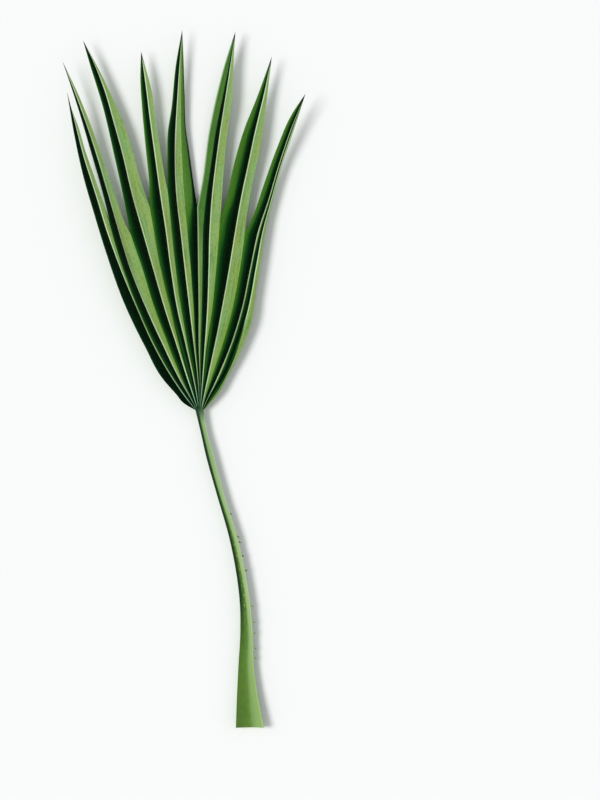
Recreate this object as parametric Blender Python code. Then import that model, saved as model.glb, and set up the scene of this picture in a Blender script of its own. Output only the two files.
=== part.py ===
"""A fan palm leaf, picked with its whole stalk and lying on its back with the upper face up.

The blade is one stiff, pleated sheet cut into eight segments. Each segment is a V-fold with its midrib
at the bottom. The stalk is channelled above, spiny on one edge, and ends in a half-clasping base.
All lines are given in millimetres from the top of the stalk: x across the leaf, y towards its tips.
"""

import math

import bmesh
import bpy
import numpy as np
from mathutils import Vector

MM = 0.001

# Sizes of the sheet
SHEET_THICKNESS = 1.3
TIP_THICKNESS = 0.8
HUB_THICKNESS = 3.6
HUB_LENGTH = 26.0
FOLD_STEEPNESS = 0.92

# How the blade lies: the hub stands clear of the ground, and the sheet is down between these heights
HUB_LIFT = 7.0
LANDING_START = 128.0
LANDING_END = 186.0
LONGEST_TIP = 379.0
NOTCH_BLEND = 34.0

# Sizes of the stalk
STALK_END = -317.0
JOIN_GAP = 0.3
MARGIN_THICKNESS = 1.6
STALK_RINGS = 38
BACK_STEPS = 8
BACK_FULLNESS = 1.08
REST_START = -286.0
ARCH_LENGTH = 110.0
STALK_ARCH = 5.0

# Rows of points across the blade while its segments are united; the free tips get rows of their own
UNITED_ROWS = (
    0.0, 3.5, 7.5, 12.5, 18.5, 25.5, 33.5, 42.5, 52.5, 64.0, 76.0, 88.0, 100.0,
    113.0, 126.0, 139.0, 152.0, 164.0, 175.5, 183.5, 191.0, 196.5, 202.5, 210.5, 219.0,
)
FREE_ROWS = 13

# Outer edges of the blade, from its base to the tips of the first and the last segment
LEFT_EDGE = (
    (-4.6, 0), (-14.1, 5.4), (-23.9, 16.1), (-36.4, 30.4), (-55, 64), (-74, 103.5), (-92.5, 154.5),
    (-105, 195), (-116.2, 234), (-125.8, 280), (-131.5, 316),
)
RIGHT_EDGE = (
    (3.8, 0), (9.1, 5.4), (19.8, 18), (25.6, 29), (43, 64), (51, 86), (55.4, 114), (60.7, 147),
    (65.7, 180), (72.8, 209), (82, 244), (91, 270), (105.6, 315),
)

# Ridges shared by two segments, from the base up to the notch where the segments part
RIDGES = (
    ((-3.6, 0), (-10.8, 10.7), (-23.2, 28.6), (-43.6, 64), (-60.4, 100), (-76, 142), (-86.5, 176),
     (-90.5, 191)),
    ((-2.6, 0), (-7.4, 10.7), (-15.9, 28.6), (-30.2, 64), (-44.5, 100), (-57.5, 142), (-69, 175.5)),
    ((-1.6, 0), (-3.9, 10.7), (-8.5, 28.6), (-18.6, 64), (-28.6, 100), (-38.8, 142), (-46, 180),
     (-50, 202.5)),
    ((-0.8, 0), (-1.7, 10.7), (-4, 28.6), (-11, 64), (-17.8, 100), (-23.8, 142), (-28, 180), (-32, 219)),
    ((0, 0), (0, 10.7), (0, 28.6), (-1.2, 64), (-1.3, 100), (-1.8, 142), (-2.3, 180), (-2.7, 202.5)),
    ((0.8, 0), (1.9, 10.7), (4.2, 28.6), (7.9, 64), (12.4, 100), (16.4, 142), (19.9, 183.5)),
    ((1.9, 0), (4.9, 10.7), (10.6, 28.6), (22.3, 64), (32.4, 100), (40.2, 142), (45, 175.5)),
)

# Inner lines of each segment, from the base to its tip. The midrib is the lowest line of the fold.
MIDRIBS = (
    ((-4.1, 0), (-13, 10.7), (-25.6, 28.6), (-46, 64), (-62.2, 100), (-79.6, 142), (-93.4, 180),
     (-102.8, 211), (-117, 257), (-125, 290), (-131.4, 316)),
    ((-3.1, 0), (-9, 10.7), (-19.4, 28.6), (-36.6, 64), (-53.2, 100), (-70.2, 142), (-81.8, 180),
     (-90.6, 211), (-104, 257), (-115, 290), (-125, 318), (-136.6, 347.5)),
    ((-2.1, 0), (-5.6, 10.7), (-11.8, 28.6), (-23.2, 64), (-35, 100), (-47.2, 142), (-58, 180),
     (-67, 211), (-78, 257), (-87, 290), (-95.6, 320), (-106, 347), (-116.5, 369)),
    ((-1.2, 0), (-2.7, 10.7), (-6.1, 28.6), (-14, 64), (-22.6, 100), (-29.4, 142), (-34.4, 180),
     (-39.2, 211), (-45.6, 257), (-50, 290), (-53.6, 320), (-58.5, 357.8)),
    ((-0.4, 0), (-0.8, 10.7), (-2, 28.6), (-6, 64), (-10.4, 100), (-15.4, 142), (-19.8, 180),
     (-23.3, 209), (-25.3, 244), (-24.6, 280), (-21.6, 327), (-17.5, 379)),
    ((0.4, 0), (1, 10.7), (2.3, 28.6), (4.7, 64), (7.1, 100), (8.5, 142), (9.4, 180),
     (11.3, 209), (15.2, 244), (20.2, 280), (27.6, 327), (35.6, 377.5)),
    ((1.3, 0), (3.2, 10.7), (6.8, 28.6), (14.4, 64), (21.4, 100), (29, 142), (35.2, 180),
     (40.3, 209), (47.6, 244), (55.4, 280), (65, 320), (71.9, 352.5)),
    ((2.5, 0), (7.2, 10.7), (15.6, 28.6), (30.4, 64), (41.6, 100), (50.4, 142), (58.6, 180),
     (68.2, 209), (78.6, 244), (91, 280), (105.6, 315)),
)

# Between the fifth and the sixth segment lies one more narrow fold. Its valley is the line that they share,
# and the notch opens in it, so the fifth segment has a crest inside its right edge and the sixth one inside
# its left edge.
RIGHT_CREST = (
    (-0.2, 0), (-0.4, 10.7), (-1, 28.6), (-3.8, 64), (-5.9, 100), (-8.9, 142), (-12.4, 180),
    (-15.2, 209), (-17.4, 244), (-18.7, 280), (-18.4, 341), (-17.5, 379),
)
LEFT_CREST = (
    (0.2, 0), (0.4, 10.7), (0.9, 28.6), (1.9, 64), (2.6, 100), (3.4, 142), (4.2, 180),
    (6.4, 209), (11.2, 244), (16.6, 280), (26, 327), (35.6, 377.5),
)

# The ninth, narrow fold on the last segment: its ridge and its own midrib
LAST_RIDGE = (
    (2.9, 0), (8.2, 10.7), (18.2, 28.6), (32.6, 64), (43.6, 100), (52.4, 142), (61, 180),
    (69.6, 209), (79.8, 244), (92, 280), (105.6, 315),
)
LAST_MIDRIB = (
    (3.3, 0), (9.4, 10.7), (21.4, 28.6), (36.4, 64), (47.8, 100), (55.8, 142), (63, 180),
    (71, 209), (80.8, 244), (93, 280), (105.6, 315),
)

# Free edges above the notches: the right edge of each segment, then the left edge of the next one
FREE_RIGHT = (
    ((-90.5, 191), (-97.4, 211), (-105.3, 234), (-113.4, 257), (-120.6, 282), (-127.6, 301), (-131.4, 316)),
    ((-69, 175.5), (-75.4, 188), (-83.3, 211), (-99, 257), (-107, 280), (-121.6, 316), (-136.6, 347.5)),
    ((-50, 202.5), (-60, 232), (-66.6, 257), (-73.8, 280), (-82.4, 301), (-96.2, 331), (-116.5, 369)),
    ((-32, 219), (-35.1, 234), (-38.9, 257), (-44, 290), (-47.6, 316), (-58.5, 357.8)),
    ((-2.7, 202.5), (-6.2, 226), (-11, 260), (-14, 281), (-15.3, 318), (-16.4, 355), (-17.5, 379)),
    ((19.9, 183.5), (21, 196.5), (21.8, 209), (24.4, 244), (27.9, 280), (31.2, 301), (33.4, 341),
     (35.6, 377.5)),
    ((45, 175.5), (46.6, 191), (52.7, 226), (60.2, 262), (66.4, 306), (71.9, 352.5)),
)
FREE_LEFT = (
    ((-90.5, 191), (-95.4, 211), (-108.4, 257), (-121.3, 301), (-130, 328), (-136.6, 347.5)),
    ((-69, 175.5), (-76, 211), (-86, 257), (-96.2, 301), (-110.2, 347), (-116.5, 369)),
    ((-50, 202.5), (-50.4, 225), (-53.5, 257), (-57.4, 300), (-59.2, 331), (-58.5, 357.8)),
    ((-32, 219), (-32.2, 250), (-31.9, 276), (-28.2, 301), (-23.8, 344), (-17.5, 379)),
    ((-2.7, 202.5), (2, 226), (9.2, 278), (17.2, 316), (24.8, 345), (35.6, 377.5)),
    ((19.9, 183.5), (22.4, 196.5), (26.2, 209), (33.9, 244), (44.4, 280), (56.4, 310), (71.9, 352.5)),
    ((45, 175.5), (52.2, 191), (64.3, 226), (77.4, 262), (91.6, 294), (105.6, 315)),
)

# How far each midrib stands off the ground at the blade's widest part, and how far its tip lifts.
# The third and the seventh are down: with the stalk's base they are what the leaf rests on.
MIDRIB_RISE = (10.0, 4.5, 0.0, 1.0, 1.6, 1.0, 0.0, 5.0)
TIP_RISE = (20.0, 17.0, 14.0, 12.0, 12.0, 13.0, 15.0, 20.0)

# The stalk: (height, place across, width) where its outline changes
STALK_OUTLINE = (
    (0, -0.4, 8.2), (-12, 1.8, 6.6), (-49, 10.8, 7.6), (-83, 20.2, 7.2), (-129, 33.8, 8.2),
    (-161, 40.5, 8.8), (-194, 45.1, 10.2), (-222, 46.5, 12.2), (-256, 46.2, 15.4),
    (-284, 47.4, 20.5), (STALK_END, 50, 28),
)
# (height, depth from margins to back, depth of the channel)
STALK_SECTION = (
    (0, 3.9, 0.4), (-40, 4.6, 0.8), (-130, 5.2, 1.1), (-200, 6.4, 1.7), (-256, 8.2, 3.2),
    (-290, 10.6, 5.8), (STALK_END, 12.4, 8.2),
)
# Spines on the right-hand margin: (height, length, how far the point hooks towards the base)
SPINES = (
    (-103.5, 1.8, 0.2), (-126, 2.6, 0.6), (-131.5, 2.8, 0.4), (-145, 2.6, 0.7), (-160.5, 3.2, -0.6),
    (-195, 3.4, 0.5), (-211, 3.6, 0.8), (-222, 3.2, 0.6), (-237, 3.6, 0.9), (-247, 3.4, 0.7),
)
SPINE_RADIUS = 0.8
SPINE_ROOT = 1.2


def through(points, heights):
    """Place across the leaf at the given heights, on a smooth line through (x, y) points."""
    x, y = np.array(points, dtype=float).T
    slope = np.gradient(x, y)
    heights = np.clip(heights, y[0], y[-1])
    i = np.clip(np.searchsorted(y, heights) - 1, 0, len(y) - 2)
    step = y[i + 1] - y[i]
    t = (heights - y[i]) / step
    return ((1 + 2 * t) * (1 - t) ** 2 * x[i] + t * (1 - t) ** 2 * step * slope[i]
            + t * t * (3 - 2 * t) * x[i + 1] + t * t * (t - 1) * step * slope[i + 1])


def ease(value):
    """0 below 0, 1 above 1, with a smooth change between."""
    value = np.clip(value, 0.0, 1.0)
    return value * value * (3 - 2 * value)


def material(name, colour, roughness):
    surface = bpy.data.materials.new(name)
    surface.use_nodes = True
    shader = surface.node_tree.nodes["Principled BSDF"]
    shader.inputs["Base Color"].default_value = (*colour, 1.0)
    shader.inputs["Roughness"].default_value = roughness
    shader.inputs["Metallic"].default_value = 0.0
    return surface


def add_object(name, bm, surface, smooth_angle):
    mesh = bpy.data.meshes.new(name)
    bm.to_mesh(mesh)
    bm.free()
    mesh.materials.append(surface)
    mesh.shade_smooth()
    mesh.set_sharp_from_angle(angle=math.radians(smooth_angle))
    piece = bpy.data.objects.new(name, mesh)
    bpy.context.scene.collection.objects.link(piece)
    return piece


# Blade

def segment_lines(k):
    """Lines of segment k, left to right, as (points, height as a share of the fold's depth)."""
    left = LEFT_EDGE if k == 0 else RIDGES[k - 1]
    right = RIGHT_EDGE if k == 7 else RIDGES[k]
    lines = [(left, 1.0), (MIDRIBS[k], 0.0), (right, 1.0)]
    if k == 0:
        lines[0] = (left, 1.25)
    if k == 4:
        lines[2:] = [(RIGHT_CREST, 0.75), (right, 0.2)]
    if k == 5:
        lines[:1] = [(left, 0.2), (LEFT_CREST, 0.55)]
    if k == 7:
        lines[2:] = [(LAST_RIDGE, 0.4), (LAST_MIDRIB, 0.16), (right, 0.75)]
    return lines


def fold_depth(left, right):
    """Depth of a fold from its width across the leaf."""
    return FOLD_STEEPNESS * (right - left) / 2


def midrib_height(k, y):
    """Height of the sheet's upper face along a midrib."""
    tip = MIDRIBS[k][-1][1]
    hub = HUB_LIFT * np.clip(1 - y / LANDING_START, 0, 1) ** 2
    side = MIDRIB_RISE[k] * ease(y / LANDING_START)
    lift = TIP_RISE[k] * np.clip((y - LANDING_END) / (tip - LANDING_END), 0, 1) ** 2
    return SHEET_THICKNESS + hub + side + lift


def segment_rows(k):
    """Heights of segment k's rows: the united ones, then its own up to just below the tip."""
    united = np.array(UNITED_ROWS)
    tip = MIDRIBS[k][-1][1]
    free = united[-1] + (tip - united[-1]) * np.arange(1, FREE_ROWS) / FREE_ROWS
    return np.concatenate([united, free])


def line_places(k, index, y):
    """Place across of line `index` of segment k, which leaves the shared ridge at the notch."""
    lines = segment_lines(k)
    points = lines[index][0]
    x = through(points, y)
    if index == 0 and k > 0:
        free = FREE_LEFT[k - 1]
    elif index == len(lines) - 1 and k < 7:
        free = FREE_RIGHT[k]
    else:
        return x
    return np.where(y > free[0][1], through(free, y), x)


def segment_points(k):
    """Places and heights of a segment's lines, one array of rows for each."""
    y = segment_rows(k)
    lines = segment_lines(k)
    x = [line_places(k, i, y) for i in range(len(lines))]
    depth = fold_depth(x[0], x[-1])
    floor = midrib_height(k, y)
    z = [floor + share * depth for _, share in lines]
    if k == 7:
        # Past the united part the narrow fold flattens into the segment's right flank
        flat = ease((y - LANDING_END) / NOTCH_BLEND)
        for i in (2, 3):
            across = (x[i] - x[1]) / np.maximum(x[-1] - x[1], 0.01)
            z[i] = z[i] * (1 - flat) + (floor + (z[-1] - floor) * across) * flat
    return y, x, z


def join_ridges(segments):
    """Give each shared ridge one height, and let the free edges leave it smoothly."""
    for k, ((y, _, z_left), (y_next, _, z_right)) in enumerate(zip(segments, segments[1:])):
        notch = FREE_RIGHT[k][0][1]
        ridge = (z_left[-1] + z_right[0]) / 2
        for rows, edge in ((y, z_left[-1]), (y_next, z_right[0])):
            united = rows <= notch
            step = (ridge[united] - edge[united])[-1]
            edge[~united] += step * (1 - ease((rows[~united] - notch) / NOTCH_BLEND))
            edge[united] = ridge[united]


def build_blade():
    segments = [segment_points(k) for k in range(8)]
    join_ridges(segments)
    bm = bmesh.new()
    placed = {}

    def point(k, line, row):
        """The sheet's point on a line and row; shared ridges up to the notch have one set of points."""
        y, x, z = segments[k]
        if line == 0 and k > 0 and y[row] <= FREE_LEFT[k - 1][0][1]:
            key = (k - 1, len(segments[k - 1][1]) - 1, row)
        else:
            key = (k, line, row)
        if key not in placed:
            placed[key] = bm.verts.new(Vector((x[line][row], y[row], z[line][row])) * MM)
        return placed[key]

    for k, (y, x, z) in enumerate(segments):
        tip_x, tip_y = MIDRIBS[k][-1]
        tip = bm.verts.new(Vector((tip_x, tip_y, midrib_height(k, np.array(tip_y)))) * MM)
        last = len(y) - 1
        for line in range(len(x) - 1):
            for row in range(last):
                a, b = point(k, line, row), point(k, line + 1, row)
                c, d = point(k, line + 1, row + 1), point(k, line, row + 1)
                bm.faces.new((a, b, c))
                bm.faces.new((a, c, d))
            bm.faces.new((point(k, line, last), point(k, line + 1, last), tip))

    # The underside is the same net of triangles, lowered by the thickness of the sheet
    grown = bmesh.ops.extrude_face_region(bm, geom=bm.faces[:])
    lower = [item for item in grown["geom"] if isinstance(item, bmesh.types.BMVert)]
    for vert in lower:
        y = vert.co.y / MM
        hub = (1 - ease(y / HUB_LENGTH)) * (HUB_THICKNESS - SHEET_THICKNESS)
        tip = ease((y - LANDING_END) / (LONGEST_TIP - LANDING_END)) * (SHEET_THICKNESS - TIP_THICKNESS)
        vert.co.z -= (SHEET_THICKNESS + hub - tip) * MM
    bmesh.ops.recalc_face_normals(bm, faces=bm.faces[:])
    return add_object("blade", bm, material("leaf green", (0.035, 0.11, 0.022), 0.5), 20)


# Stalk

def stalk_shape(y):
    """Place across, width, depth, channel depth and height of the back at one height."""
    outline = np.array(STALK_OUTLINE, dtype=float)[::-1]
    section = np.array(STALK_SECTION, dtype=float)[::-1]
    centre = through(outline[:, [1, 0]], y)
    width = through(outline[:, [2, 0]], y)
    depth = through(section[:, [1, 0]], y)
    channel = through(section[:, [2, 0]], y)
    arch = STALK_ARCH * ease((y - REST_START) / ARCH_LENGTH)
    return centre, width, depth, channel, arch


def stalk_ring(y):
    """One section of the stalk: margins, a channel above and a rounded back with a narrow flat."""
    centre, width, depth, channel, back = (float(v) for v in stalk_shape(y))
    top = back + depth
    ring = []
    for u in (1.0, 0.6, 0.1, -0.45, -1.0):
        dip = channel * (1 - abs((u - 0.1) / (0.9 if u > 0.1 else 1.1)) ** 1.5)
        ring.append((centre + u * width / 2, y, top - dip))
    for step in range(BACK_STEPS):
        angle = math.pi * (step + 0.5) / BACK_STEPS
        u = -math.cos(angle)
        drop = MARGIN_THICKNESS + (depth - MARGIN_THICKNESS) * BACK_FULLNESS * math.sin(angle) ** 0.8
        ring.append((centre + u * width / 2, y, max(top - drop, back)))
    return ring


def build_stalk():
    bm = bmesh.new()
    heights = np.linspace(STALK_END, -JOIN_GAP, STALK_RINGS)
    rings = [[bm.verts.new(Vector(p) * MM) for p in stalk_ring(y)] for y in heights]
    count = len(rings[0])
    for low, high in zip(rings, rings[1:]):
        for i in range(count):
            j = (i + 1) % count
            bm.faces.new((low[i], low[j], high[j], high[i]))
    for end in (rings[0], rings[-1]):
        bm.faces.new(end)
    bmesh.ops.triangulate(bm, faces=bm.faces[:])
    bmesh.ops.recalc_face_normals(bm, faces=bm.faces[:])
    return add_object("stalk", bm, material("stalk green", (0.13, 0.29, 0.075), 0.5), 35)


def add_spines(stalk):
    """Grow the margin's spines into the stalk by one union."""
    spines = bpy.data.collections.new("spines")
    bpy.context.scene.collection.children.link(spines)
    for height, length, hook in SPINES:
        centre, width, depth, _, back = (float(v) for v in stalk_shape(height))
        bm = bmesh.new()
        cone = bmesh.ops.create_cone(
            bm, cap_ends=True, segments=5, radius1=SPINE_RADIUS, radius2=0.12, depth=length + SPINE_ROOT)
        for vert in cone["verts"]:
            reach = vert.co.z + (length + SPINE_ROOT) / 2
            bend = hook * (reach / length) ** 2
            along = Vector((reach - SPINE_ROOT, -vert.co.x - bend, vert.co.y))
            vert.co = along * MM
        bmesh.ops.recalc_face_normals(bm, faces=bm.faces[:])
        mesh = bpy.data.meshes.new("spine")
        bm.to_mesh(mesh)
        bm.free()
        spine = bpy.data.objects.new("spine", mesh)
        margin = back + depth - MARGIN_THICKNESS / 2
        spine.location = Vector((centre + width / 2, height, margin)) * MM
        spines.objects.link(spine)

    union = stalk.modifiers.new("spines", "BOOLEAN")
    union.operation = "UNION"
    union.operand_type = "COLLECTION"
    union.collection = spines
    bpy.context.view_layer.update()
    evaluated = stalk.evaluated_get(bpy.context.evaluated_depsgraph_get())
    joined = bpy.data.meshes.new_from_object(evaluated)
    stalk.modifiers.remove(union)
    stalk.data = joined
    for spine in list(spines.objects):
        bpy.data.objects.remove(spine)
    bpy.data.collections.remove(spines)


# The whole leaf, centred over the origin

for old in list(bpy.data.objects):
    bpy.data.objects.remove(old)

blade = build_blade()
stalk = build_stalk()
add_spines(stalk)

corners = np.array([vert.co for piece in (blade, stalk) for vert in piece.data.vertices])
middle = (corners.min(axis=0) + corners.max(axis=0)) / 2
leaf = bpy.data.objects.new("leaf", None)
bpy.context.scene.collection.objects.link(leaf)
leaf.location = (-middle[0], -middle[1], 0)
for piece in (blade, stalk):
    piece.parent = leaf
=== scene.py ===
"""Looks of a fan palm leaf that was picked with its stalk and lies with its upper face up.

Places across and along the leaf are millimetres from the top of the stalk, as a grower would measure them,
and heights are millimetres above the surface that the leaf lies on.
"""

import math

import bpy
import numpy as np
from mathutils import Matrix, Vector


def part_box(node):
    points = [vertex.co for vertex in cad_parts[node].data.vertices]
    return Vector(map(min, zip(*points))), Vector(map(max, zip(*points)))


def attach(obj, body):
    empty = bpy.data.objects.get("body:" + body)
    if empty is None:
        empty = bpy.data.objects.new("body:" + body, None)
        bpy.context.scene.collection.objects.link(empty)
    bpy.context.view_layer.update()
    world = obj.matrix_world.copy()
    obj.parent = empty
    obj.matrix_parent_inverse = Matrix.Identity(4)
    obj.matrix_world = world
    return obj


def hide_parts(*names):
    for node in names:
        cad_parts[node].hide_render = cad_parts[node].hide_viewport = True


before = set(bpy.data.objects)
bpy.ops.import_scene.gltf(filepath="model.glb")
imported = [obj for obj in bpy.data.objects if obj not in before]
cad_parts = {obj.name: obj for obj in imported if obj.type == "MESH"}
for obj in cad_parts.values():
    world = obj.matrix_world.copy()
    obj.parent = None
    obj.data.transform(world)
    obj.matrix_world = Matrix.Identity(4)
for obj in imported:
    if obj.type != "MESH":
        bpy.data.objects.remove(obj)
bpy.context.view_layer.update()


# Blade
# The blade is one leathery sheet that grew folded like a fan. Stiff midribs lie at the bottoms of the
# folds, fine parallel veins run beside them, and the outer half is split into tapering segments.

MM = 0.001
SHEET = 0.6
KEEL = 1.3
HUB_THICKNESS = 3.6
HUB_LENGTH = 26.0
TIP_THICKNESS = 0.8
FOLD_STEEPNESS = 0.92
HUB_LIFT = 7.0
LANDING_START = 128.0
LANDING_END = 186.0
LONGEST_TIP = 379.0
LAST_NOTCH = 219.0
NOTCH_BLEND = 34.0
ROW_STEP = 2.0
FREE_ROWS = 78
FLANK_STEPS = 6
RIB_STEPS = (0.0, 0.45, 1.1)
RIB_BEAD = (0.0, 0.3, 0.08)
RIB_FULL_WIDTH = 4.0
KEEL_REACH = 1.6
WAVE_HEIGHT = 0.22
VEIN_SPACING = 1.25
VEINS_KEPT = 23

LEFT_EDGE = (
    (-4.6, 0), (-14.1, 5.4), (-23.9, 16.1), (-36.4, 30.4), (-55, 64), (-74, 103.5), (-92.5, 154.5),
    (-105, 195), (-116.2, 234), (-125.8, 280), (-131.5, 316),
)
RIGHT_EDGE = (
    (3.8, 0), (9.1, 5.4), (19.8, 18), (25.6, 29), (43, 64), (51, 86), (55.4, 114), (60.7, 147),
    (65.7, 180), (72.8, 209), (82, 244), (91, 270), (105.6, 315),
)
# Lines that two segments share, from the base up to the notch where they part
SHARED = (
    ((-3.6, 0), (-10.8, 10.7), (-23.2, 28.6), (-43.6, 64), (-60.4, 100), (-76, 142), (-86.5, 176),
     (-90.5, 191)),
    ((-2.6, 0), (-7.4, 10.7), (-15.9, 28.6), (-30.2, 64), (-44.5, 100), (-57.5, 142), (-69, 175.5)),
    ((-1.6, 0), (-3.9, 10.7), (-8.5, 28.6), (-18.6, 64), (-28.6, 100), (-38.8, 142), (-46, 180),
     (-50, 202.5)),
    ((-0.8, 0), (-1.7, 10.7), (-4, 28.6), (-11, 64), (-17.8, 100), (-23.8, 142), (-28, 180), (-32, 219)),
    ((0, 0), (0, 10.7), (0, 28.6), (-1.2, 64), (-1.3, 100), (-1.8, 142), (-2.3, 180), (-2.7, 202.5)),
    ((0.8, 0), (1.9, 10.7), (4.2, 28.6), (7.9, 64), (12.4, 100), (16.4, 142), (19.9, 183.5)),
    ((1.9, 0), (4.9, 10.7), (10.6, 28.6), (22.3, 64), (32.4, 100), (40.2, 142), (45, 175.5)),
)
MIDRIBS = (
    ((-4.1, 0), (-13, 10.7), (-25.6, 28.6), (-46, 64), (-62.2, 100), (-79.6, 142), (-93.4, 180),
     (-102.8, 211), (-117, 257), (-125, 290), (-131.4, 316)),
    ((-3.1, 0), (-9, 10.7), (-19.4, 28.6), (-36.6, 64), (-53.2, 100), (-70.2, 142), (-81.8, 180),
     (-90.6, 211), (-104, 257), (-115, 290), (-125, 318), (-136.6, 347.5)),
    ((-2.1, 0), (-5.6, 10.7), (-11.8, 28.6), (-23.2, 64), (-35, 100), (-47.2, 142), (-58, 180),
     (-67, 211), (-78, 257), (-87, 290), (-95.6, 320), (-106, 347), (-116.5, 369)),
    ((-1.2, 0), (-2.7, 10.7), (-6.1, 28.6), (-14, 64), (-22.6, 100), (-29.4, 142), (-34.4, 180),
     (-39.2, 211), (-45.6, 257), (-50, 290), (-53.6, 320), (-58.5, 357.8)),
    ((-0.4, 0), (-0.8, 10.7), (-2, 28.6), (-6, 64), (-10.4, 100), (-15.4, 142), (-19.8, 180),
     (-23.3, 209), (-25.3, 244), (-24.6, 280), (-21.6, 327), (-17.5, 379)),
    ((0.4, 0), (1, 10.7), (2.3, 28.6), (4.7, 64), (7.1, 100), (8.5, 142), (9.4, 180),
     (11.3, 209), (15.2, 244), (20.2, 280), (27.6, 327), (35.6, 377.5)),
    ((1.3, 0), (3.2, 10.7), (6.8, 28.6), (14.4, 64), (21.4, 100), (29, 142), (35.2, 180),
     (40.3, 209), (47.6, 244), (55.4, 280), (65, 320), (71.9, 352.5)),
    ((2.5, 0), (7.2, 10.7), (15.6, 28.6), (30.4, 64), (41.6, 100), (50.4, 142), (58.6, 180),
     (68.2, 209), (78.6, 244), (91, 280), (105.6, 315)),
)
FIFTH, SIXTH, LAST = 4, 5, 7
# The narrow extra fold between the fifth and the sixth segment has a crest on either side of its valley
RIGHT_CREST = (
    (-0.2, 0), (-0.4, 10.7), (-1, 28.6), (-3.8, 64), (-5.9, 100), (-8.9, 142), (-12.4, 180),
    (-15.2, 209), (-17.4, 244), (-18.7, 280), (-18.4, 341), (-17.5, 379),
)
LEFT_CREST = (
    (0.2, 0), (0.4, 10.7), (0.9, 28.6), (1.9, 64), (2.6, 100), (3.4, 142), (4.2, 180),
    (6.4, 209), (11.2, 244), (16.6, 280), (26, 327), (35.6, 377.5),
)
# The narrow fold along the last segment: its ridge and its own midrib
LAST_RIDGE = (
    (2.9, 0), (8.2, 10.7), (18.2, 28.6), (32.6, 64), (43.6, 100), (52.4, 142), (61, 180),
    (69.6, 209), (79.8, 244), (92, 280), (105.6, 315),
)
LAST_MIDRIB = (
    (3.3, 0), (9.4, 10.7), (21.4, 28.6), (36.4, 64), (47.8, 100), (55.8, 142), (63, 180),
    (71, 209), (80.8, 244), (93, 280), (105.6, 315),
)
# Free edges above the notches: the right edge of each segment, then the left edge of the next one
FREE_RIGHT = (
    ((-90.5, 191), (-97.4, 211), (-105.3, 234), (-113.4, 257), (-120.6, 282), (-127.6, 301), (-131.4, 316)),
    ((-69, 175.5), (-75.4, 188), (-83.3, 211), (-99, 257), (-107, 280), (-121.6, 316), (-136.6, 347.5)),
    ((-50, 202.5), (-60, 232), (-66.6, 257), (-73.8, 280), (-82.4, 301), (-96.2, 331), (-116.5, 369)),
    ((-32, 219), (-35.1, 234), (-38.9, 257), (-44, 290), (-47.6, 316), (-58.5, 357.8)),
    ((-2.7, 202.5), (-6.2, 226), (-11, 260), (-14, 281), (-15.3, 318), (-16.4, 355), (-17.5, 379)),
    ((19.9, 183.5), (21, 196.5), (21.8, 209), (24.4, 244), (27.9, 280), (31.2, 301), (33.4, 341),
     (35.6, 377.5)),
    ((45, 175.5), (46.6, 191), (52.7, 226), (60.2, 262), (66.4, 306), (71.9, 352.5)),
)
FREE_LEFT = (
    ((-90.5, 191), (-95.4, 211), (-108.4, 257), (-121.3, 301), (-130, 328), (-136.6, 347.5)),
    ((-69, 175.5), (-76, 211), (-86, 257), (-96.2, 301), (-110.2, 347), (-116.5, 369)),
    ((-50, 202.5), (-50.4, 225), (-53.5, 257), (-57.4, 300), (-59.2, 331), (-58.5, 357.8)),
    ((-32, 219), (-32.2, 250), (-31.9, 276), (-28.2, 301), (-23.8, 344), (-17.5, 379)),
    ((-2.7, 202.5), (2, 226), (9.2, 278), (17.2, 316), (24.8, 345), (35.6, 377.5)),
    ((19.9, 183.5), (22.4, 196.5), (26.2, 209), (33.9, 244), (44.4, 280), (56.4, 310), (71.9, 352.5)),
    ((45, 175.5), (52.2, 191), (64.3, 226), (77.4, 262), (91.6, 294), (105.6, 315)),
)
MIDRIB_RISE = (10.0, 4.5, 0.0, 1.0, 1.6, 1.0, 0.0, 5.0)
TIP_RISE = (20.0, 17.0, 14.0, 12.0, 12.0, 13.0, 15.0, 20.0)

# The flanks of each segment from left to right, with one number for the united part and one for the free
# part. A flank that leans right, away from the light, gets painted shade up to about that share of its
# width from its valley, and above 1 it is painted dark all over. One that leans left is pale, and the
# number says how far painted shade turns it a darker green than the rest.
FLANKS = (
    (("dark", 1.9, 1.7), ("pale", 0.2, 0.2)),
    (("dark", 1.4, 1.5), ("pale", 0.0, 0.0)),
    (("dark", 1.2, 1.15), ("pale", 0.0, 0.0)),
    (("dark", 1.15, 0.85), ("pale", 0.0, 0.0)),
    (("dark", 1.2, 1.1), ("pale", 0.05, 0.0), ("dark", 1.5, 0.25)),
    (("pale", 0.5, 1.0), ("dark", 2.0, 2.0), ("pale", 0.0, 0.0)),
    (("dark", 1.05, 0.6), ("pale", 0.1, 0.0)),
    (("dark", 0.95, 0.65), ("pale", 0.0, 0.0), ("dark", 1.4, 1.4), ("pale", 0.15, 0.1)),
)
# The share of a pale flank that has painted shade below its ridge: at the base, in the united part, in the
# free part. Below zero the painted shade lies beside its valley instead. Flanks that aren't named here have
# none.
CAPS = {
    (0, 1): (0.45, 0.25, 0.0),
    (1, 1): (0.2, 0.0, 0.0),
    (2, 1): (0.65, 0.05, 0.0),
    (3, 1): (0.5, 0.08, 0.0),
    (4, 1): (0.4, 0.05, 0.0),
    (5, 0): (0.6, 0.2, 0.06),
    (5, 2): (0.55, 0.0, 0.0),
    (7, 1): (0.35, 0.35, 0.25),
    (7, 3): (-0.55, 0.0, 0.0),
}
PAINT_START = 140.0
PAINT_BLEND = 90.0
BASE_PAINT_START = 30.0
BASE_PAINT_BLEND = 80.0
DARK_CURVE = 1.5
PALE_CURVE = 1.12

blade_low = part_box("blade")[0]
STALK_TOP = np.array([blade_low.x - MIDRIBS[1][-1][0] * MM, blade_low.y, 0.0])


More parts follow.
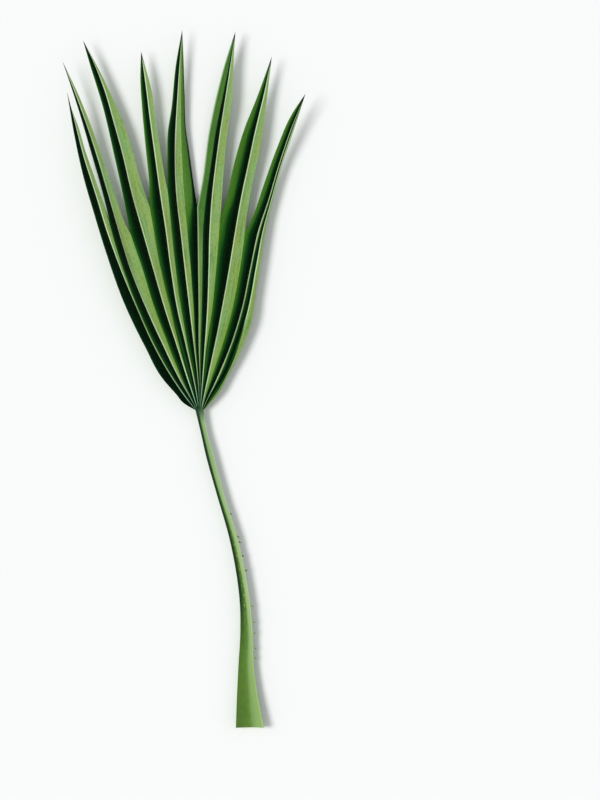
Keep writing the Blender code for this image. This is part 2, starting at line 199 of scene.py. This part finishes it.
def through(points, heights):
    """Place across the leaf at the given heights, on a smooth line through (x, y) points."""
    x, y = np.array(points, dtype=float).T
    slope = np.gradient(x, y)
    heights = np.clip(heights, y[0], y[-1])
    i = np.clip(np.searchsorted(y, heights) - 1, 0, len(y) - 2)
    step = y[i + 1] - y[i]
    t = (heights - y[i]) / step
    return ((1 + 2 * t) * (1 - t) ** 2 * x[i] + t * (1 - t) ** 2 * step * slope[i]
            + t * t * (3 - 2 * t) * x[i + 1] + t * t * (t - 1) * step * slope[i + 1])


def ease(value):
    """0 below 0, 1 above 1, with a smooth change between."""
    value = np.clip(value, 0.0, 1.0)
    return value * value * (3 - 2 * value)


def segment_lines(k):
    """Lines of segment k, left to right, as (points, height as a share of the fold's depth)."""
    left = LEFT_EDGE if k == 0 else SHARED[k - 1]
    right = RIGHT_EDGE if k == LAST else SHARED[k]
    lines = [(left, 1.0), (MIDRIBS[k], 0.0), (right, 1.0)]
    if k == 0:
        lines[0] = (left, 1.25)
    if k == FIFTH:
        lines[2:] = [(RIGHT_CREST, 0.75), (right, 0.2)]
    if k == SIXTH:
        lines[:1] = [(left, 0.2), (LEFT_CREST, 0.55)]
    if k == LAST:
        lines[2:] = [(LAST_RIDGE, 0.4), (LAST_MIDRIB, 0.16), (right, 0.75)]
    return lines


def midrib_height(k, y):
    """Height of the sheet's upper face along a midrib."""
    tip = MIDRIBS[k][-1][1]
    hub = HUB_LIFT * np.clip(1 - y / LANDING_START, 0, 1) ** 2
    side = MIDRIB_RISE[k] * ease(y / LANDING_START)
    lift = TIP_RISE[k] * np.clip((y - LANDING_END) / (tip - LANDING_END), 0, 1) ** 2
    return KEEL + hub + side + lift


def segment_rows(k):
    """Heights of segment k's rows: the united ones, then its own up to its tip."""
    notches = [edge[0][1] for edge in FREE_RIGHT]
    near_base = np.arange(0.0, 12.0, 1.0)
    united = np.unique(np.concatenate([near_base, np.arange(12.0, LAST_NOTCH, ROW_STEP), notches]))
    tip = MIDRIBS[k][-1][1]
    free = LAST_NOTCH + (tip - LAST_NOTCH) * np.arange(1, FREE_ROWS) / FREE_ROWS
    return np.concatenate([united, free])


def segment_points(k):
    """Rows of a segment, and the places and heights of its lines along them."""
    y = segment_rows(k)
    lines = segment_lines(k)
    x = [through(points, y) for points, _ in lines]
    free_left = FREE_LEFT[k - 1] if k > 0 else None
    free_right = FREE_RIGHT[k] if k < LAST else None
    for index, free in ((0, free_left), (-1, free_right)):
        if free:
            x[index] = np.where(y > free[0][1], through(free, y), x[index])
    depth = FOLD_STEEPNESS * (x[-1] - x[0]) / 2
    floor = midrib_height(k, y)
    z = [floor + share * depth for _, share in lines]
    if k == LAST:
        # Past the united part the narrow fold flattens into the segment's right flank
        flat = ease((y - LANDING_END) / NOTCH_BLEND)
        for i in (2, 3):
            across = (x[i] - x[1]) / np.maximum(x[-1] - x[1], 0.01)
            z[i] = z[i] * (1 - flat) + (floor + (z[-1] - floor) * across) * flat
    return y, x, z


def join_shared_lines(segments):
    """Give each shared line one height, and let the free edges leave it smoothly."""
    for k, ((y, _, z_left), (y_next, _, z_right)) in enumerate(zip(segments, segments[1:])):
        notch = FREE_RIGHT[k][0][1]
        shared = (z_left[-1] + z_right[0]) / 2
        for rows, edge in ((y, z_left[-1]), (y_next, z_right[0])):
            united = rows <= notch
            step = (shared[united] - edge[united])[-1]
            edge[~united] += step * (1 - ease((rows[~united] - notch) / NOTCH_BLEND))
            edge[united] = shared[united]


def cells(grid):
    """The four corners of each cell of a grid, anticlockwise from above."""
    corners = (grid[:-1, :-1], grid[:-1, 1:], grid[1:, 1:], grid[1:, :-1])
    return np.stack(corners, axis=2).reshape(-1, 4, *grid.shape[2:])


# What each corner of the mesh tells the paint: how far up its flank it is, whether the flank gets painted
# shade, the numbers from FLANKS and CAPS, the distances from midrib and tip, a count of veins across the
# whole blade, the height, and whether it is on the underside
FACTS = ("rise", "dark", "tone", "cap", "off_rib", "off_tip", "vein", "along", "under")


def flank_sheet(rows, low, high, kind, shade_depths, caps, tip, number):
    """One flank from its valley to its ridge: points, thickness below them, and all facts but the last."""
    (x_low, z_low), (x_high, z_high) = low, high
    width = np.abs(x_high - x_low)[:, None]
    near = np.clip(width / RIB_FULL_WIDTH, 0.0005, 1.0)
    rib = np.array(RIB_STEPS)[None, :] * near
    rest = rib[:, -1:] + (width - rib[:, -1:]) * (np.arange(1, FLANK_STEPS + 1) / FLANK_STEPS)[None, :]
    reach = np.concatenate([rib, rest], axis=1)
    rise = np.clip(reach / np.maximum(width, 1e-6), 0.0, 1.0)
    rise[:, -1] = 1.0
    curve = DARK_CURVE if kind == "dark" else PALE_CURVE
    x = x_low[:, None] + (x_high - x_low)[:, None] * rise
    y = np.broadcast_to(rows[:, None], x.shape)
    z = z_low[:, None] + (z_high - z_low)[:, None] * (1 - (1 - rise) ** curve)
    wave = np.sin(x / 5.3 + 2 * np.sin(y / 37)) * np.sin(y / 17 + x / 11)
    z = z + WAVE_HEIGHT * near * rise * wave
    if kind == "pale":
        z[:, :len(RIB_BEAD)] += np.array(RIB_BEAD)[None, :] * near
    keel = 1 - ease(reach / KEEL_REACH)
    hub = (1 - ease(y / HUB_LENGTH)) * (HUB_THICKNESS - KEEL)
    thin = ease((y - LANDING_END) / (LONGEST_TIP - LANDING_END)) * (KEEL - TIP_THICKNESS)
    thickness = SHEET + (KEEL - thin - SHEET) * keel + hub
    veins = max(3, round(float(width.max()) / VEIN_SPACING))
    free = ease((y - PAINT_START) / PAINT_BLEND)
    base = 1 - ease((y - BASE_PAINT_START) / BASE_PAINT_BLEND)
    facts = np.stack([
        rise,
        np.full_like(x, 1.0 if kind == "dark" else 0.0),
        shade_depths[0] + (shade_depths[1] - shade_depths[0]) * free,
        caps[1] + (caps[2] - caps[1]) * free + (caps[0] - caps[1]) * base,
        reach / near,
        tip - y,
        number * VEINS_KEPT + rise * veins,
        y,
    ], axis=2)
    return np.stack([x, y, z], axis=2), thickness, facts


def build_blade():
    """The sheet's upper face: points, thickness below each, faces, and the facts at each face's corners."""
    segments = [segment_points(k) for k in range(len(MIDRIBS))]
    join_shared_lines(segments)
    points, depths, faces, facts = [], [], [], []
    shared_column = None
    number = 0
    count = 0
    for k, (rows, x, z) in enumerate(segments):
        tip_x, tip_y = MIDRIBS[k][-1]
        tip_index = count
        points.append(np.array([[tip_x, tip_y, float(midrib_height(k, tip_y))]]))
        depths.append(np.array([TIP_THICKNESS]))
        count += 1
        edge_column = shared_column
        for i, (kind, *shade_depths) in enumerate(FLANKS[k]):
            left, right = (x[i], z[i]), (x[i + 1], z[i + 1])
            low, high = (right, left) if kind == "dark" else (left, right)
            caps = CAPS.get((k, i), (0.0, 0.0, 0.0))
            place, depth, fact = flank_sheet(rows, low, high, kind, shade_depths, caps, tip_y, number)
            if kind == "dark":
                place, depth, fact = place[:, ::-1], depth[:, ::-1], fact[:, ::-1]
            number += 1
            index = count + np.arange(place[..., 0].size).reshape(place.shape[:2])
            count += index.size
            points.append(place.reshape(-1, 3))
            depths.append(depth.reshape(-1))
            if edge_column is not None:
                index[:len(edge_column), 0] = edge_column
            edge_column = index[:, -1]
            corners = cells(index)
            faces += corners.tolist()
            facts += cells(fact).tolist()
            last = fact[-1].tolist()
            for c in range(index.shape[1] - 1):
                faces.append([int(index[-1, c]), int(index[-1, c + 1]), tip_index])
                end = list(last[c])
                end[FACTS.index("off_tip")] = 0.0
                facts.append([last[c], last[c + 1], end])
        united = rows <= (FREE_RIGHT[k][0][1] if k < LAST else 0)
        shared_column = edge_column[united]
    return np.concatenate(points), np.concatenate(depths), faces, facts


def closed_sheet(points, depths, faces, facts):
    """Close a sheet with an underside and a rim. The last fact is 0 on the upper face and 1 below it."""
    used = sorted({corner for face in faces for corner in face})
    renumber = {old: new for new, old in enumerate(used)}
    faces = [[renumber[corner] for corner in face] for face in faces]
    upper = points[used]
    lower = upper.copy()
    lower[:, 2] -= depths[used]
    count = len(used)
    edges = {}
    for face, values in zip(faces, facts):
        for i in range(len(face)):
            j = (i + 1) % len(face)
            edges[face[i], face[j]] = (values[i], values[j])
    all_faces = faces + [[corner + count for corner in reversed(face)] for face in faces]
    all_facts = [[*v, 0.0] for values in facts for v in values]
    all_facts += [[*v, 1.0] for values in facts for v in reversed(values)]
    for (a, b), (facts_a, facts_b) in edges.items():
        if (b, a) not in edges:
            all_faces.append([b, a, a + count, b + count])
            all_facts += [[*facts_b, 0.0], [*facts_a, 0.0], [*facts_a, 1.0], [*facts_b, 1.0]]
    return np.concatenate([upper, lower]), all_faces, FACTS, np.array(all_facts)


def add_piece(name, points, faces, fact_names, facts, sharp_angle):
    """A mesh object from points in millimetres, with a number for each fact at each face corner."""
    mesh = bpy.data.meshes.new(name)
    mesh.from_pydata((points * MM + STALK_TOP).tolist(), [], faces)
    for i, fact_name in enumerate(fact_names):
        layer = mesh.attributes.new(fact_name, "FLOAT", "CORNER")
        layer.data.foreach_set("value", np.ascontiguousarray(facts[:, i], dtype=np.float32))
    mesh.shade_smooth()
    mesh.set_sharp_from_angle(angle=math.radians(sharp_angle))
    piece = bpy.data.objects.new(name, mesh)
    bpy.context.scene.collection.objects.link(piece)
    return piece


class Wire:
    """One value in a material, carried by a node's socket. Arithmetic on wires adds Math nodes."""

    def __init__(self, tree, socket=None):
        self.tree = tree
        self.socket = socket

    def node(self, kind, settings=None, sockets=None, out=0):
        """Add a node: first its settings, then its sockets' values or links. Returns one of its outputs."""
        added = self.tree.nodes.new(kind)
        for name, value in (settings or {}).items():
            setattr(added, name, value)
        for name, value in (sockets or {}).items():
            if isinstance(value, Wire):
                self.tree.links.new(value.socket, added.inputs[name])
            else:
                added.inputs[name].default_value = value
        return Wire(self.tree, added.outputs[out])

    def math(self, operation, *values):
        return self.node("ShaderNodeMath", {"operation": operation}, dict(enumerate(values)))

    def __add__(self, other):
        return self.math("ADD", self, other)

    def __sub__(self, other):
        return self.math("SUBTRACT", self, other)

    def __rsub__(self, other):
        return self.math("SUBTRACT", other, self)

    def __mul__(self, other):
        return self.math("MULTIPLY", self, other)

    def __truediv__(self, other):
        return self.math("DIVIDE", self, other)

    __radd__ = __add__
    __rmul__ = __mul__

    def fact(self, name):
        """A number stored on the mesh."""
        return self.node("ShaderNodeAttribute", {"attribute_name": name}, out=2)

    def fade(self, start, end):
        """0 where the value is at start, 1 at end, with a smooth change between."""
        return self.node(
            "ShaderNodeMapRange", {"interpolation_type": "SMOOTHSTEP"}, {0: self, 1: start, 2: end})

    def blend(self, without, with_it):
        """One colour where this mask is 0, the other where it is 1."""
        return self.node("ShaderNodeMix", {"data_type": "RGBA"}, {0: self, 6: without, 7: with_it}, out=2)

    def noise(self, x, y):
        """Soft noise from 0 to 1 over two coordinates."""
        place = self.node("ShaderNodeCombineXYZ", None, {0: x, 1: y})
        return self.node("ShaderNodeTexNoise", None, {"Vector": place, "Scale": 1.0, "Detail": 3.0})


def paint(red, green, blue):
    """A colour given from 0 to 255 on each channel, as the linear numbers that a shader takes."""
    shares = [channel / 255 for channel in (red, green, blue)]
    return (*(((s + 0.055) / 1.055) ** 2.4 if s > 0.04045 else s / 12.92 for s in shares), 1.0)


def new_finish(name, roughness, specular):
    """A new material: its tree as a wire, its shader node and itself."""
    finish = bpy.data.materials.new(name)
    finish.use_nodes = True
    shader = finish.node_tree.nodes["Principled BSDF"]
    shader.inputs["Roughness"].default_value = roughness
    shader.inputs["Specular IOR Level"].default_value = specular
    return Wire(finish.node_tree), shader, finish


def plug_in(wire, shader, socket):
    """Link a wire to one of a shader's sockets."""
    wire.tree.links.new(wire.socket, shader.inputs[socket])


BLACK_GREEN = paint(0, 18, 9)
DEEP_GREEN = paint(6, 66, 20)
RIDGE_GREEN = paint(60, 112, 26)
FRESH_GREEN = paint(84, 132, 50)
SAGE = paint(134, 170, 106)
YELLOW_SAGE = paint(142, 165, 90)
YELLOW_GREEN = paint(116, 146, 40)
PALE_LINE = paint(200, 228, 180)
BRIGHT_LINE = paint(214, 238, 196)
MID_GREEN = paint(70, 114, 44)
HUB_GREEN = paint(14, 70, 38)
HUB_LINE = paint(156, 208, 168)
TIP_BROWN = paint(24, 20, 12)
UNDER_GREEN = paint(112, 150, 88)
UNDER_RIB = paint(158, 178, 110)
HUB_PAINT = (44.0, 8.0)
LOWER_PAINT = (190.0, 90.0)
BRIGHT_LINE_PAINT = (90.0, 230.0)
RIGHT_SIDE_VEINS = (270.0, 299.0)
TIP_PAINT = (13.0, 4.0)


def blade_finish():
    """Leaf green: painted shade on the flanks that lean right, pale on the others, with fine veins along
    them.
    """
    tree, shader, finish = new_finish("blade_green", 0.45, 0.03)
    rise = tree.fact("rise")
    dark = tree.fact("dark")
    tone = tree.fact("tone")
    off_rib = tree.fact("off_rib")
    vein = tree.fact("vein")
    along = tree.fact("along")
    hub = along.fade(*HUB_PAINT)

    streak = tree.noise(vein * 0.8, along * 0.03)
    patch = tree.noise(vein * 0.15, along * 0.02 + 40.0)
    speck = tree.noise(vein * 0.9, along * 0.3)
    # Painted shade on the flanks that lean right: green at the ridge, deep green, then black-green towards
    # the valley and at the hub
    share = rise / (dark * tone + (1 - dark)) + (streak - 0.5) * 0.45
    ridge = tone.fade(0.9, 0.25).blend(RIDGE_GREEN, FRESH_GREEN)
    shadow = share.fade(1.1, 0.6).blend(ridge, DEEP_GREEN)
    shadow = (share - hub * 0.4).fade(0.8, 0.3).blend(shadow, BLACK_GREEN)
    shadow = (speck.fade(0.5, 0.72) * 0.4).blend(shadow, DEEP_GREEN)

    cap = tree.fact("cap")
    reach = rise / (1 - cap) + (streak - 0.5) * 0.3
    light = patch.fade(0.35, 0.65).blend(SAGE, YELLOW_SAGE)
    yellow = reach.fade(0.3, 1.0) * along.fade(*LOWER_PAINT) * (0.4 + 0.6 * patch)
    light = yellow.blend(light, YELLOW_GREEN)
    # Painted shade: a pale flank with a shade depth turns a darker green, and its veins darker too
    light = (tone + (streak - 0.5) * 0.35).fade(0.0, 1.0).blend(light, MID_GREEN)
    vein_green = tone.fade(0.3, 0.9).blend(MID_GREEN, DEEP_GREEN)
    light = (speck.fade(0.45, 0.7) * 0.35 + streak.fade(0.48, 0.7) * 0.45).blend(light, vein_green)
    right_side = vein.fade(*RIGHT_SIDE_VEINS)
    light = (hub * (0.8 - 0.55 * right_side)).blend(light, HUB_GREEN)
    # A pale line beside each midrib on the pale flank: partly the rib's own paler green and partly painted
    # highlight, painted brighter higher up where the deeper valleys lie in more shade
    edge = off_rib.fade(1.4 + hub * 0.6, 0.8 + hub * 0.3) * (1 - 0.65 * tone.fade(0.25, 0.5))
    line = hub.blend(along.fade(*BRIGHT_LINE_PAINT).blend(PALE_LINE, BRIGHT_LINE), HUB_LINE)
    light = edge.blend(light, line)
    # Painted shade on pale flanks: below the ridge by the cap's share, and beside the valley where the cap
    # is below zero
    capped = cap.fade(0.0, 0.05) * reach.fade(0.9, 1.1) + (rise + cap + streak * 0.2).fade(0.2, 0.0)
    light = capped.blend(light, streak.fade(0.35, 0.65).blend(BLACK_GREEN, DEEP_GREEN))
    colour = dark.blend(light, shadow)

    groove = tree.math("SINE", vein * math.tau).fade(0.55, 1.0)
    colour = (groove * (0.28 - 0.2 * dark)).blend(colour, dark.blend(vein_green, MID_GREEN))

    below = (streak * 0.5).blend(UNDER_GREEN, SAGE)
    below = off_rib.fade(1.4, 0.6).blend(below, UNDER_RIB)
    colour = tree.fact("under").fade(0.4, 0.6).blend(colour, below)
    off_tip = tree.fact("off_tip") + (streak - 0.5) * 9.0
    colour = off_tip.fade(*TIP_PAINT).blend(colour, TIP_BROWN)
    plug_in(colour, shader, "Base Color")

    plug_in(0.4 + 0.16 * streak, shader, "Roughness")
    relief = tree.math("SINE", vein * math.tau) * 0.5 + tree.noise(vein * 6.0, along * 0.4) * 0.8
    bump = tree.node("ShaderNodeBump", None, {"Strength": 0.35, "Distance": 0.0002, "Height": relief})
    plug_in(bump, shader, "Normal")
    return finish


blade = add_piece("blade_sheet", *closed_sheet(*build_blade()), 30)
blade.data.materials.append(blade_finish())
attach(blade, "root")
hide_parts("blade")


# Stalk
# The stalk grew out of the blade's base. It is channelled above and rounded below, tough and finely
# grooved along its length, and it widens into the sheath that clasped the stem, where it was cut.

STALK_END = -317.0
MARGIN_THICKNESS = 1.6
BACK_FULLNESS = 1.08
REST_START = -286.0
ARCH_LENGTH = 110.0
STALK_ARCH = 5.0
TONGUE_LENGTH = 5.0
TONGUE_DROP = 0.9
TONGUE_TIP = 0.2
CHANNEL_SHIFT = 0.1
CHANNEL_POINTS = 17
RING_STEP = 2.0
# (height, place across, width) where the outline changes
STALK_OUTLINE = (
    (0, -0.4, 8.2), (-12, 1.8, 6.6), (-49, 10.8, 7.6), (-83, 20.2, 7.2), (-129, 33.8, 8.2),
    (-161, 40.5, 8.8), (-194, 45.1, 10.2), (-222, 46.5, 12.2), (-256, 46.2, 15.4),
    (-284, 47.4, 20.5), (STALK_END, 50, 28),
)
# (height, depth from margins to back, depth of the channel)
STALK_SECTION = (
    (0, 3.9, 0.4), (-40, 4.6, 0.8), (-130, 5.2, 1.1), (-200, 6.4, 1.7), (-256, 8.2, 3.2),
    (-290, 10.6, 5.8), (STALK_END, 12.4, 8.2),
)
STALK_FACTS = ("across", "along", "under", "cut")

STALK_LEFT = paint(68, 114, 32)
STALK_SHADE = paint(36, 84, 18)
STALK_RIGHT = paint(136, 168, 108)
STALK_MARGIN = paint(170, 198, 130)
STALK_OUTER = paint(14, 44, 12)
STALK_BASE = paint(116, 150, 60)
STALK_TOP_GREEN = paint(12, 62, 34)
STALK_FLECK = paint(160, 172, 92)
STALK_BACK = paint(104, 146, 84)
CUT_FLESH = paint(196, 200, 150)
CUT_STRAND = paint(128, 112, 66)


def stalk_shape(y):
    """Place across, width, depth, channel depth and height of the back at one height."""
    outline = np.array(STALK_OUTLINE, dtype=float)[::-1]
    section = np.array(STALK_SECTION, dtype=float)[::-1]
    centre = through(outline[:, [1, 0]], y)
    width = through(outline[:, [2, 0]], y)
    depth = through(section[:, [1, 0]], y)
    channel = through(section[:, [2, 0]], y)
    back = STALK_ARCH * ease((y - REST_START) / ARCH_LENGTH)
    return centre, width, depth, channel, back


def build_stalk():
    """Rings of points from the sheath's cut end to the tongue that closes over the blade's base."""
    heights = np.concatenate([np.arange(STALK_END, 0.0, RING_STEP), np.linspace(0, TONGUE_LENGTH, 6)])
    angles = math.pi * np.arange(CHANNEL_POINTS) / (CHANNEL_POINTS - 1)
    across = -np.cos(angles)
    half = np.where(across > CHANNEL_SHIFT, 1 - CHANNEL_SHIFT, 1 + CHANNEL_SHIFT)
    rings, facts = [], []
    for y in heights:
        centre, width, depth, channel, back = stalk_shape(y)
        past = max(0.0, y) / TONGUE_LENGTH
        width = width * math.sqrt(max(TONGUE_TIP ** 2, 1 - past ** 2))
        top = back + depth - TONGUE_DROP * past ** 2
        dip = channel * (1 - np.abs((across - CHANNEL_SHIFT) / half) ** 1.5)
        drop = MARGIN_THICKNESS + (depth - MARGIN_THICKNESS) * BACK_FULLNESS * np.sin(angles) ** 0.8
        upper = np.stack([centre + across * width / 2, np.full_like(across, y), top - dip], axis=1)
        lower = np.stack([upper[:, 0], upper[:, 1], np.maximum(top - drop, back)], axis=1)
        rings.append(np.concatenate([upper, lower[::-1]]))
        facts.append([(u, y, 0.0, 0.0) for u in across] + [(u, y, 1.0, 0.0) for u in across[::-1]])
    rings, facts = np.array(rings), np.array(facts)
    index = np.arange(rings.shape[0] * rings.shape[1]).reshape(rings.shape[:2])
    wrapped = np.concatenate([index, index[:, :1]], axis=1)
    wrapped_facts = np.concatenate([facts, facts[:, :1]], axis=1)
    faces = cells(wrapped).tolist()
    corner_facts = cells(wrapped_facts).reshape(-1, len(STALK_FACTS)).tolist()
    count = index.shape[1]
    for row, step in ((0, 1), (-1, -1)):
        for i in range(CHANNEL_POINTS - 1):
            face = [i, count - 1 - i, count - 2 - i, i + 1][::step]
            faces.append([int(index[row, c]) for c in face])
            corner_facts += [[*facts[row, c][:3], 1.0 if row == 0 else 0.0] for c in face]
    return rings.reshape(-1, 3), faces, STALK_FACTS, np.array(corner_facts)


def stalk_finish():
    """Green skin with painted shade on the left of the channel, painted light on its right and a painted
    highlight along the right margin; cream where it was cut.
    """
    tree, shader, finish = new_finish("stalk_green", 0.42, 0.25)
    across = tree.fact("across")
    along = tree.fact("along")
    streak = tree.noise(across * 9.0, along * 0.025)
    fleck = tree.noise(across * 5.0, along * 0.3 + 90.0)
    mottle = tree.noise(across * 2.2, along * 0.14 + 200.0)
    wobble = across + (streak - 0.5) * 0.3
    # Painted shade on the channel's left wall, which faces away from the light, and painted light on its
    # right wall; the boundary moves right lower down
    lit = wobble + 0.3 - along.fade(-40.0, -190.0) * 0.5
    left = (mottle.fade(0.42, 0.62) * 0.6).blend(STALK_LEFT, STALK_SHADE)
    colour = lit.fade(-0.15, 0.2 + along.fade(-180.0, -230.0) * 0.3).blend(left, STALK_RIGHT)
    colour = (along.fade(-90.0, -25.0) * 0.45).blend(colour, STALK_BACK)
    # Painted shade deepening to near black-green towards the left edge
    outer = (wobble - along.fade(-90.0, -20.0) * 0.2).fade(-0.1, -0.7)
    outer = outer * (0.15 + 0.85 * along.fade(-275.0, -170.0))
    colour = outer.blend(colour, STALK_OUTER)
    # Painted highlight along the right margin
    colour = across.fade(0.8, 0.97).blend(colour, STALK_MARGIN)
    colour = (along.fade(-180.0, -265.0) * 0.45).blend(colour, STALK_BASE)
    # Painted highlights flecked over all but the left of the upper stalk
    spots = fleck.fade(0.52, 0.64) * along.fade(-90.0, -130.0) * along.fade(-230.0, -190.0)
    colour = (spots * across.fade(-0.6, 0.1) * 0.8).blend(colour, STALK_FLECK)
    colour = (along.fade(-14.0, 1.0) * 0.9).blend(colour, STALK_TOP_GREEN)
    colour = (tree.fact("under").fade(0.3, 0.7) * 0.9).blend(colour, STALK_BACK)
    section = tree.node("ShaderNodeCombineXYZ", None, {0: across * 13.0, 1: tree.fact("under") * 7.0})
    strands = tree.node("ShaderNodeTexVoronoi", None, {"Vector": section, "Scale": 1.0}).fade(0.34, 0.22)
    colour = tree.fact("cut").blend(colour, strands.blend(CUT_FLESH, CUT_STRAND))
    plug_in(colour, shader, "Base Color")
    plug_in(0.36 + 0.2 * streak, shader, "Roughness")
    relief = tree.noise(across * 26.0, along * 0.05) + 0.4 * tree.noise(across * 60.0, along * 0.6)
    bump = tree.node("ShaderNodeBump", None, {"Strength": 0.4, "Distance": 0.0003, "Height": relief})
    plug_in(bump, shader, "Normal")
    return finish


stalk = add_piece("stalk_skin", *build_stalk(), 40)
stalk.data.materials.append(stalk_finish())
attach(stalk, "root")
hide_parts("stalk")


# Spines
# Hard hooked spines grew out of the stalk's right margin. Each is a flattened, curved cone, green-yellow
# where it leaves the margin and brown at its sharp point.

# (height, length, how far the point hooks towards the base)
SPINES = (
    (-103.5, 1.8, 0.2), (-126, 2.6, 0.6), (-131.5, 2.8, 0.4), (-145, 2.6, 0.7), (-160.5, 3.2, -0.6),
    (-195, 3.4, 0.5), (-211, 3.6, 0.8), (-222, 3.2, 0.6), (-237, 3.6, 0.9), (-247, 3.4, 0.7),
)
SPINE_ROOT = 1.2
SPINE_HALF_WIDTH = 1.25
SPINE_HALF_HEIGHT = 0.66
SPINE_TIP = 0.04
SPINE_SIDES = 10
SPINE_RINGS = 9
SPINE_FACTS = ("reach", "along")
SPINE_FOOT = paint(158, 190, 116)
SPINE_SHAFT = paint(142, 168, 92)
SPINE_POINT = paint(44, 36, 18)


def build_spines():
    """Rings of points from each spine's root in the margin to its point, one spine after another."""
    points, faces, facts = [], [], []
    turn = 2 * math.pi * np.arange(SPINE_SIDES) / SPINE_SIDES
    for height, length, hook in SPINES:
        centre, width, depth, _, back = stalk_shape(height)
        root = np.array([centre + width / 2 - SPINE_ROOT, height, back + depth - MARGIN_THICKNESS / 2])
        first = len(points)
        for ring in range(SPINE_RINGS):
            share = ring / (SPINE_RINGS - 1)
            out = share * (length + SPINE_ROOT)
            thin = (1 - share) ** 0.8 + SPINE_TIP
            bend = hook * (out / length) ** 2
            for angle in turn:
                along = SPINE_HALF_WIDTH * thin * math.cos(angle) - bend
                up = SPINE_HALF_HEIGHT * thin * math.sin(angle)
                points.append(root + np.array((out, along, up)))
        index = first + np.arange(SPINE_RINGS * SPINE_SIDES).reshape(SPINE_RINGS, SPINE_SIDES)
        wrapped = np.concatenate([index, index[:, :1]], axis=1)
        reach = np.linspace(0, 1, SPINE_RINGS)[:, None] + np.zeros(SPINE_SIDES + 1)
        faces += cells(wrapped).tolist()
        facts += [[float(value), height] for value in cells(reach).ravel()]
        faces.append(index[0, ::-1].tolist())
        facts += [[0.0, height]] * SPINE_SIDES
        faces.append(index[-1].tolist())
        facts += [[1.0, height]] * SPINE_SIDES
    return np.array(points), faces, SPINE_FACTS, np.array(facts)


def spine_finish():
    """Green-yellow horn that turns brown towards the point, sooner on the upper spines."""
    tree, shader, finish = new_finish("spine_horn", 0.35, 0.5)
    reach = tree.fact("reach") + tree.fact("along").fade(-180.0, -165.0) * 0.25
    place = tree.node("ShaderNodeTexCoord", out=3)
    grain = tree.node("ShaderNodeTexNoise", None, {"Vector": place, "Scale": 2600.0, "Detail": 2.0})
    reach = reach + (grain - 0.5) * 0.3
    colour = reach.fade(0.25, 0.5).blend(SPINE_FOOT, SPINE_SHAFT)
    plug_in(reach.fade(0.55, 0.8).blend(colour, SPINE_POINT), shader, "Base Color")
    plug_in(0.28 + 0.2 * grain, shader, "Roughness")
    return finish


spines = add_piece("spines", *build_spines(), 50)
spines.data.materials.append(spine_finish())
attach(spines, "root")


# Studio
# A plain pale floor under soft light from the left and a weaker even light from all round. The camera is
# far above, as a picture of a leaf laid on a table is taken, so that little of it is foreshortened.

FLOOR_SIZE = 30.0
FLOOR_COLOUR = (0.86, 0.86, 0.85, 1.0)
SKY_COLOUR = (0.95, 0.98, 1.0, 1.0)
LIGHT_ELEVATION = 54.0
LIGHT_SPREAD = 24.0
LIGHT_STRENGTH = 2.1
SKY_STRENGTH = 0.6
CAMERA_HEIGHT = 5.0
FIELD_HEIGHT = 0.8
SENSOR = 36.0
FRAME_CENTRE = (0.1155, -0.021)

floor_mesh = bpy.data.meshes.new("floor")
half = FLOOR_SIZE / 2
corners = [(-half, -half, 0), (half, -half, 0), (half, half, 0), (-half, half, 0)]
floor_mesh.from_pydata(corners, [], [(0, 1, 2, 3)])
floor = bpy.data.objects.new("floor", floor_mesh)
bpy.context.scene.collection.objects.link(floor)
_, floor_shader, floor_finish = new_finish("floor_paper", 0.9, 0.1)
floor_shader.inputs["Base Color"].default_value = FLOOR_COLOUR
floor.data.materials.append(floor_finish)

lamp_data = bpy.data.lights.new("key", "SUN")
lamp_data.energy = LIGHT_STRENGTH
lamp_data.angle = math.radians(LIGHT_SPREAD)
lamp = bpy.data.objects.new("key", lamp_data)
lamp.rotation_euler = (0, math.radians(LIGHT_ELEVATION - 90), 0)
bpy.context.scene.collection.objects.link(lamp)

world = bpy.data.worlds.new("sky")
world.use_nodes = True
background = world.node_tree.nodes["Background"]
background.inputs["Color"].default_value = SKY_COLOUR
background.inputs["Strength"].default_value = SKY_STRENGTH
bpy.context.scene.world = world
bpy.context.scene.view_settings.view_transform = "Standard"

camera_data = bpy.data.cameras.new("camera")
camera_data.sensor_width = SENSOR
camera_data.lens = SENSOR * CAMERA_HEIGHT / FIELD_HEIGHT
camera_data.clip_end = FLOOR_SIZE
camera = bpy.data.objects.new("camera", camera_data)
camera.location = (*FRAME_CENTRE, CAMERA_HEIGHT)
bpy.context.scene.collection.objects.link(camera)
bpy.context.scene.camera = camera
